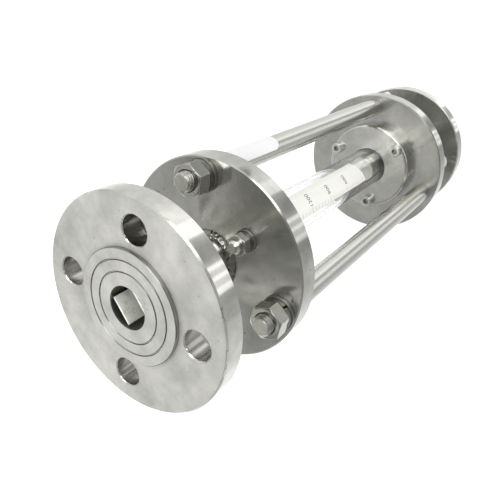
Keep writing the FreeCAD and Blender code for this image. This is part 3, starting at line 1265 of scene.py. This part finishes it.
@dataclass
class MeasuringTube(Layout):
    """Glass tube, float, enamel strip and its printed scale."""

    low_r: float = 10.3
    high_r: float = 12.0
    low: float = 63.5
    lip: float = 0.5
    float_low: float = 60.3
    float_len: float = 36.0
    float_r: float = 9.5
    float_tip_r: float = 2.1
    float_nose: float = 11.0
    float_body_r: float = 8.8
    float_grooves: int = 3
    float_groove: float = 1.1
    float_groove_depth: float = 0.25
    float_head: float = 4.0
    float_flare: float = 1.2
    float_edge: float = 0.6
    float_dish_r: float = 3.1
    float_dish: float = 1.2
    edge_round: float = 0.15
    strip_face: float = 14.35
    strip_low: float = 119.5
    strip_high: float = 240.5
    strip_half_w: float = 8.2
    strip_turn: float = 2.5
    strip_margin: float = 1.5       # clear of marks at both ends
    first_number: int = 600
    last_number: int = 1500
    number_step: int = 300
    ticks_per_step: int = 6
    first_height: float = 145.5
    step_height: float = 24.5
    numeral_h: float = 3.4
    size_per_height: float = 1.38   # font size over the height of its numerals
    tick_inset: float = 0.1
    long_tick: Point = (3.6, 0.40)  # length and width
    short_tick: Point = (2.4, 0.30)
    mark_gap: float = 0.01          # print above the strip
    mark_t: float = 0.04
    former_end: float = 5.0         # how far the marks' former runs past the strip
    ahead: float = 30.0             # how far in front of the axis the flat marks are made

    def tube(self) -> Thing:
        """Tapered glass tube with fire-polished ends.

        Returns:
            The tube.
        """
        side, high = self.tube_r - self.lip, self.length - self.low
        thing = turn("drawn_glass_tube", [
            (self.low_r, self.low), (side, self.low), (self.tube_r, self.low + self.lip),
            (self.tube_r, high - self.lip), (side, high), (self.high_r, high)], segments=192)
        smooth(thing, GLASS_CREASE)
        return thing

    def float_body(self) -> Thing:
        """Turned float with a conical nose, three grooves and a sharp reading edge.

        Returns:
            The float at its lower stop.
        """
        body_r, waist = self.float_body_r, self.float_body_r - self.float_groove_depth
        top, head, dish = self.float_len, self.float_len - self.float_head, self.float_len - self.float_dish
        step = (head - self.float_nose) / (self.float_grooves + 1)
        points = [(0, 0), (self.float_tip_r, 0), (body_r, self.float_nose)]
        for count in range(1, self.float_grooves + 1):
            middle = self.float_nose + count * step
            for radius, offset in ((body_r, -1), (waist, -0.5), (waist, 0.5), (body_r, 1)):
                points.append((radius, middle + offset * self.float_groove))
        points += [(body_r, head - self.float_flare), (self.float_r, head),
                   (self.float_r, top - self.float_edge), (self.float_r - self.float_edge, top),
                   (self.float_dish_r, top), (self.float_dish_r - 1, dish), (0, dish)]
        lifted = [(radius, self.float_low + height) for radius, height in points]
        thing = turn("turned_float", lifted, segments=128)
        return ease(thing, self.edge_round)

    def tick(self, height: float, size: Point) -> Thing:
        """Flat tick mark in front of the strip, ready to be wrapped on it.

        Args:
            height: Its height on the meter.
            size: Its length and width.

        Returns:
            The tick.
        """
        clear_selection()
        bpy.ops.mesh.primitive_grid_add(x_subdivisions=8, y_subdivisions=1, size=1.0,
                                        rotation=(math.radians(90), 0, 0))
        thing = bpy.context.active_object
        thing.scale = (size[0] * MM, size[1] * MM, 1)
        middle = self.tick_inset - self.strip_half_w + size[0] / 2
        thing.location = Vector((middle, -self.ahead, height)) * MM
        apply_place(thing)
        return thing

    def numeral(self, number: int, height: float) -> Thing:
        """Flat number in front of the strip, ready to be wrapped on it.

        Args:
            number: The number.
            height: Its height on the meter.

        Returns:
            The number as a mesh.
        """
        clear_selection()
        bpy.ops.object.text_add(location=(0, -self.ahead * MM, height * MM),
                                rotation=(math.radians(90), 0, 0))
        thing = bpy.context.active_object
        thing.data.body = str(number)
        thing.data.align_x, thing.data.align_y = "CENTER", "CENTER"
        thing.data.size = self.numeral_h * self.size_per_height * MM
        pick(thing)
        bpy.ops.object.convert(target="MESH")
        thing = bpy.context.active_object
        apply_place(thing)
        edit(thing)
        bpy.ops.mesh.subdivide(number_cuts=1)
        bpy.ops.object.mode_set(mode="OBJECT")
        return thing

    def wrap(self, name: str, marks: list[Thing]) -> Thing:
        """Join flat marks, press them on the strip and give them a film's thickness.

        Args:
            name: Name of the joined piece.
            marks: The flat marks.

        Returns:
            The wrapped print.
        """
        inner, outer = self.strip_face - OVERRUN, self.strip_face + self.mark_gap
        low, high = self.strip_low - self.former_end, self.strip_high + self.former_end
        former = turn("former", [(inner, low), (outer, low), (outer, high), (inner, high)], segments=360)
        thing = join(*marks)
        thing.name = name
        apply_modifier(thing, "SHRINKWRAP", target=former, wrap_method="PROJECT",
                       use_project_y=True, use_project_z=False, use_project_x=False,
                       use_positive_direction=True, use_negative_direction=False)
        bpy.data.objects.remove(former)
        apply_modifier(thing, "SOLIDIFY", thickness=self.mark_t * MM, offset=0)
        thing.rotation_euler = (0, 0, math.radians(self.strip_turn))
        apply_place(thing)
        return thing

    def scale_marks(self) -> tuple[list[Thing], list[Thing]]:
        """Make the flat numbers and ticks at their heights.

        Returns:
            The numbers and the ticks.
        """
        numbers = range(self.first_number, self.last_number + 1, self.number_step)
        numerals = [self.numeral(number, self.first_height + count * self.step_height)
                    for count, number in enumerate(numbers)]
        pitch = self.step_height / self.ticks_per_step
        below = int((self.first_height - self.strip_low - self.strip_margin) / pitch)
        above = int((self.strip_high - self.strip_margin - self.first_height) / pitch)
        ticks = []
        for count in range(-below, above + 1):
            size = self.short_tick if count % self.ticks_per_step else self.long_tick
            ticks.append(self.tick(self.first_height + count * pitch, size))
        return numerals, ticks

    def build(self, finishes: Finishes) -> None:
        """Model the tube, the float and the print, and dress them.

        Args:
            finishes: Materials by name.
        """
        settle(self.tube(), finishes["tube_glass"], "tube_glass", "glass_tube")
        settle(self.float_body(), finishes["float_steel"], "float_steel", "float", body=FLOAT_BODY)
        strip = refine("scale_strip", "enamel_scale_strip")
        settle(strip, finishes["scale_enamel"], "scale_enamel", "scale_strip")
        numerals, ticks = self.scale_marks()
        settle(self.wrap("scale_numerals", numerals), finishes["print_dark"], "scale_enamel")
        settle(self.wrap("scale_ticks", ticks), finishes["print_red"], "scale_enamel")


@dataclass
class Studio:
    """Floor, surrounding light, lamps and camera."""

    # Lamp panels round the object: (degrees round Z, light)
    low_panels: tuple[Point, ...] = (
        (0, 1.0), (35, 0.85), (62, 1.15), (115, 1.5), (128, 1.05), (150, 1.05), (178, 0.79),
        (205, 0.72), (212, 0.60), (223, 0.58), (227, 0.48), (237, 0.50), (238, 1.3), (243.5, 1.55),
        (244.5, 1.0), (250.5, 1.0), (251.5, 1.55), (255, 1.5), (256, 0.98), (261, 0.98), (262, 1.6),
        (265.5, 1.6), (266.5, 0.75), (274, 0.50), (286, 0.55), (298.5, 0.85), (299.5, 1.6),
        (317, 1.6), (318, 1.2), (326, 1.22), (345, 1.1), (359.9, 1.0))
    high_panels: tuple[Point, ...] = (
        (0, 1.1), (30, 0.75), (60, 0.65), (82, 0.60), (86, 0.9), (97, 0.9), (102, 0.42), (150, 0.38),
        (180, 0.45), (212, 0.35), (233, 0.25), (270, 0.40), (276, 1.0), (290, 1.0), (296, 0.5),
        (312, 0.8), (340, 1.2), (359.9, 1.1))
    # How much of the high panels is left by height, and where the two rows meet
    high_fall: tuple[Point, ...] = ((0.0, 1.0), (0.66, 0.95), (0.73, 0.50), (0.80, 0.50), (0.88, 0.95),
                                    (1.0, 1.0))
    rows_blend: float = 0.06
    # Bright windows: (degrees round Z, half their width, low edge, high edge, light)
    bright_panels: tuple[tuple[float, ...], ...] = (
        (300, 20, 0.52, 0.90, 3.0), (314, 7, 0.62, 0.86, 3.0))
    window_blend: float = 0.01
    window_side_blend: float = 0.2
    camera_place: Triple = (0.008247, -0.205798, 0.475172)
    camera_turn: Triple = (-20.430, 33.296, -125.225)
    lens: float = 39.754
    shift: Point = (-0.03104, -0.09426)
    floor_size: float = 6.0
    floor_grey: float = 0.82
    floor_lift: float = 0.42
    plain_light: float = 0.95
    flag_place: Triple = (67.1, -63.6, 243.8)
    flag_target: Triple = (40.1, -31.9, 287.0)
    flag_r: float = 15.0
    flag_light: float = 0.45
    # Soft boxes: (name, place in metres, width, power)
    softboxes: tuple[tuple[str, Triple, float, float], ...] = (
        ("softbox_back", (0.25, 0.75, 0.95), 0.9, 2.0), ("softbox_left", (-0.85, -0.25, 0.75), 0.6, 1.5))
    softbox_target: Triple = (0, 0, 0.2)

    def floor(self) -> None:
        """Plain pale floor under the inlet face."""
        clear_selection()
        bpy.ops.mesh.primitive_plane_add(size=self.floor_size, location=(0, 0, 0))
        floor = bpy.context.active_object
        floor.name = "studio_floor"
        made, nodes = new_material("pale_floor")
        matt = nodes.add("BsdfDiffuse", Color=(self.floor_grey, self.floor_grey, self.floor_grey, 1))
        lift = nodes.add("Emission", Color=(1, 1, 1, 1), Strength=self.floor_lift)
        seen = nodes.add("AddShader")
        nodes.feed(seen, 0, matt.outputs[0])
        nodes.feed(seen, 1, lift.outputs[0])
        nodes.add("OutputMaterial", Surface=seen.outputs[0])
        floor.visible_glossy = False
        floor.data.materials.append(made)

    def flag(self) -> None:
        """Small dark card that keeps one window out of the upper nut, seen in reflections alone."""
        clear_selection()
        bpy.ops.mesh.primitive_circle_add(vertices=24, radius=self.flag_r * MM, fill_type="NGON",
                                          location=Vector(self.flag_place) * MM)
        flag = bpy.context.active_object
        flag.name = "studio_flag"
        aim = Vector(self.flag_place) - Vector(self.flag_target)
        flag.rotation_euler = aim.to_track_quat("Z", "Y").to_euler()
        made, nodes = new_material("flag_cloth")
        grey = nodes.add("Emission", Color=(1, 1, 1, 1), Strength=self.flag_light)
        nodes.add("OutputMaterial", Surface=grey.outputs[0])
        flag.data.materials.append(made)
        flag.visible_camera = flag.visible_diffuse = flag.visible_transmission = False
        flag.visible_shadow = False

    def windows(self, nodes: Nodes, turned: Socket, height: Socket, light: Socket) -> Socket:
        """Add the bright windows to the light from the two rows of panels.

        Args:
            nodes: Adder of the nodes.
            turned: Direction round Z, as a share of a turn.
            height: Direction's height.
            light: Light from the panels.

        Returns:
            The light with the windows.
        """
        blend = self.window_blend
        for degrees, half, low, high, bright in self.bright_panels:
            aside = nodes.math("ABSOLUTE", nodes.math("SUBTRACT", turned, degrees / 360))
            side, soft = half / 360, self.window_side_blend
            inside = nodes.ramp(aside, side * (1 + soft), side * (1 - soft))
            over = nodes.ramp(height, low - blend, low + blend)
            under = nodes.ramp(height, high + blend, high - blend)
            shine = nodes.product(nodes.product(inside, bright), nodes.product(over, under))
            light = nodes.math("ADD", light, shine)
        return light

    def panels(self, nodes: Nodes, where: Socket) -> Socket:
        """Lamp panels by direction: one row low, one high, and the bright windows.

        Args:
            nodes: Adder of the world's nodes.
            where: Direction.

        Returns:
            Light from that direction.
        """
        x, y, height = nodes.add("SeparateXYZ", Vector=where).outputs
        angle = nodes.math("DIVIDE", nodes.math("ARCTAN2", y, x), math.tau)
        turned = nodes.math("FRACT", nodes.math("ADD", angle, 1.0))
        low = nodes.spread(turned, [(degrees / 360, light) for degrees, light in self.low_panels])
        high = nodes.spread(turned, [(degrees / 360, light) for degrees, light in self.high_panels])
        upper = nodes.ramp(height, -self.rows_blend, self.rows_blend)
        above = nodes.product(high, nodes.spread(height, self.high_fall), upper)
        below = nodes.product(low, nodes.math("SUBTRACT", 1.0, upper))
        return self.windows(nodes, turned, height, nodes.math("ADD", above, below))

    def surroundings(self) -> None:
        """World light: plain for matt surfaces, white to the eye, panelled in reflections."""
        world = bpy.data.worlds.new("studio")
        bpy.context.scene.world = world
        world.use_nodes = True
        nodes = Nodes(world.node_tree)
        path = nodes.add("LightPath")
        bands = self.panels(nodes, nodes.add("TexCoord").outputs["Generated"])
        direct = nodes.math("SUBTRACT", 1.0, path.outputs["Is Transmission Ray"])
        mirrored = nodes.product(path.outputs["Is Glossy Ray"], direct)
        white = nodes.math("MAXIMUM", path.outputs["Is Camera Ray"], path.outputs["Is Transmission Ray"])
        plain = nodes.product(path.outputs["Is Diffuse Ray"], self.plain_light)
        light = nodes.math("ADD", nodes.math("ADD", white, plain), nodes.product(mirrored, bands))
        back = nodes.add("Background", Color=(1, 1, 1, 1), Strength=light)
        nodes.add("OutputWorld", Surface=back.outputs[0])

    def lamps(self) -> None:
        """Two soft boxes above the object."""
        for name, place, width, power in self.softboxes:
            clear_selection()
            bpy.ops.object.light_add(type="AREA", location=place)
            lamp = bpy.context.active_object
            lamp.name = name
            lamp.data.size = width
            lamp.data.energy = power
            lamp.visible_glossy = False
            aim = Vector(self.softbox_target) - Vector(place)
            lamp.rotation_euler = aim.to_track_quat("-Z", "Y").to_euler()

    def camera(self) -> None:
        """Camera at the photograph's viewing angle."""
        clear_selection()
        bpy.ops.object.camera_add(location=self.camera_place,
                                  rotation=[math.radians(angle) for angle in self.camera_turn])
        camera = bpy.context.active_object
        camera.name = "studio_camera"
        camera.data.sensor_width = 36.0
        camera.data.lens = self.lens
        camera.data.shift_x, camera.data.shift_y = self.shift
        camera.data.clip_start = 0.01
        bpy.context.scene.camera = camera

    def build(self) -> None:
        """Set up the whole studio."""
        self.floor()
        self.flag()
        self.surroundings()
        self.lamps()
        self.camera()
        bpy.context.scene.view_settings.view_transform = "Standard"


RECIPES = (
    Steel("flange_steel", (0.63, 0.63, 0.585), 0.07, stretch=0.7, face_roughness=0.42, face_matt=0.6,
          smears=0.03, blotches=0.42, pits=0.35),
    # darker than the flange: painted shade, as the plates' faces and the flanges' backs lie in the gap
    # between flange and plate
    Steel("plate_steel", (0.49, 0.49, 0.46), 0.07, stretch=0.97, face_roughness=0.07, face_matt=0.16,
          smears=0.03, blotches=0.34, pits=0.8),
    Steel("gland_steel", (0.67, 0.67, 0.62), 0.09, stretch=0.9, face_roughness=0.13, smears=0.05,
          blotches=0.20),
    Steel("pipe_steel", (0.72, 0.72, 0.67), 0.14, Lay.DRAWN),
    # painted shade: a near-black colour for the flange bore
    Steel("bore_steel_painted_shade", (0.18, 0.18, 0.17), 0.34, Lay.DRAWN),
    Steel("weld_steel", (0.26, 0.25, 0.23), 0.16, Lay.PLAIN),
    Steel("stop_steel", (0.98, 0.99, 0.91), 0.50, Lay.DRAWN, bump=2.0, stretch=0.3, matt=0.95,
          blotches=0.5, blotch_size=400.0),
    Steel("rod_steel", (0.57, 0.57, 0.53), 0.22, Lay.DRAWN, marks=2500.0, bump=0.1, smears=0.02,
          blotches=0.04, pits=0.0),
    Steel("fastener_steel", (0.53, 0.53, 0.49), 0.13, Lay.PLAIN, bump=0.1, stretch=0.0),
    # painted shade: a dark colour for the washers under the nuts
    Steel("washer_steel_painted_shade", (0.24, 0.24, 0.22), 0.36, Lay.PLAIN, bump=0.1, stretch=0.0),
    Steel("socket_steel", (0.68, 0.68, 0.64), 0.16, Lay.PLAIN, bump=0.1, stretch=0.0),
    # painted shade: darker colour for the sealing grooves, the raised face's wall and the screw sockets
    Steel("painted_shade_wall_steel", (0.36, 0.36, 0.34), 0.16, stretch=0.3),
    # bolt-hole walls: a drilled finish, with a darker colour that is painted shade
    Steel("hole_steel_painted_shade", (0.42, 0.41, 0.39), 0.20, stretch=0.3),
    Steel("float_steel", (0.70, 0.70, 0.66), 0.30),
    Glass("tube_glass"),
    Coat("scale_enamel", (0.93, 0.94, 0.87), 0.30, mottle=0.03),
    Coat("sticker_white", (0.87, 0.87, 0.88), 0.45),
    Coat("cushion_ptfe", (0.88, 0.88, 0.86), 0.4),
    Coat("packing_rubber", (0.03, 0.03, 0.03), 0.6),
    Coat("print_dark", (0.10, 0.10, 0.10), 0.4),
    Coat("print_red", (0.66, 0.42, 0.40), 0.4),
)


def dress_plain_nodes(finishes: Finishes) -> None:
    """Give the CAD nodes that stay in view their finish, and refine the sticker.

    Args:
        finishes: Materials by name.
    """
    for end in End:
        for part, finish in (("neck", "pipe_steel"), ("cushion", "cushion_ptfe"),
                             ("packing", "packing_rubber")):
            node = "%s_%s" % (end.value, part)
            mesh = frame["nodes"][node].data
            mesh.materials.clear()
            mesh.materials.append(finishes[finish])
            log.info("%s: CAD mesh", node)
    settle(refine("rod_label", "film_sticker"), finishes["sticker_white"], "sticker_white", "rod_label")


def main() -> None:
    """Build the studio and the meter."""
    logging.basicConfig(level=logging.INFO, format="%(message)s")
    for build_group in (build_turned_lay, build_drawn_lay, build_handling):
        build_group()
    finishes = {recipe.name: recipe.material() for recipe in RECIPES}
    Studio().build()
    for assembly in (EndFitting(), Fasteners(), MeasuringTube()):
        assembly.build(finishes)
    dress_plain_nodes(finishes)
    clear_selection()


if __name__ == "__main__":
    main()
